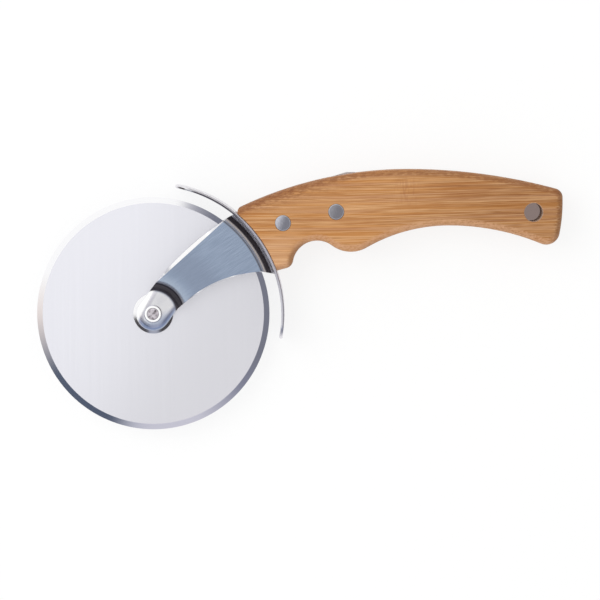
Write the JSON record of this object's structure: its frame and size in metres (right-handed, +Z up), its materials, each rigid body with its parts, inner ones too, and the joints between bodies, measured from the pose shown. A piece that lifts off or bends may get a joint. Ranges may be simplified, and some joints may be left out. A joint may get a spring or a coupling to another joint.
{
  "type": "pizza cutter wheel",
  "caption": "Hand-held pizza cutter: a bevelled steel wheel turning in a folded fork, with a curved finger guard and a riveted bamboo handle with a hanging hole.",
  "frame": {"origin": "on the table, under the middle of the outline, with the cutter lying on its side", "axes": "+Z up, along the wheel's axis; +X along the handle towards its tail; +Y towards the back of the handle"},
  "size_m": [0.2254, 0.112, 0.02],
  "materials": {
    "blade_steel": "polished stainless steel",
    "hub_steel": "turned and polished",
    "rivet_steel": "satin",
    "fork_steel": "brushed along the arms",
    "guard_steel": "satin",
    "tang_steel": "satin",
    "bamboo": "oiled bamboo"
  },
  "bodies": {
    "frame": {"handle": "bamboo", "guard": "guard_steel", "fork": "fork_steel", "tang": "tang_steel", "axle_sleeve": "hub_steel", "axle_rivet": "rivet_steel", "axle_washer": "rivet_steel", "front_rivet_post": "rivet_steel", "front_rivet_tube": "rivet_steel", "rear_rivet_post": "rivet_steel", "rear_rivet_tube": "rivet_steel"},
    "wheel": {"cutting_wheel": "blade_steel", "hub_flange_front": "hub_steel", "hub_flange_back": "hub_steel"}
  },
  "joints": [
    {"name": "wheel_spin", "type": "hinge", "parent": "frame", "child": "wheel", "pos_m": [-0.06275, -0.00605, 0.01], "axis": [0, 0, 1], "continuous": true}
  ]
}
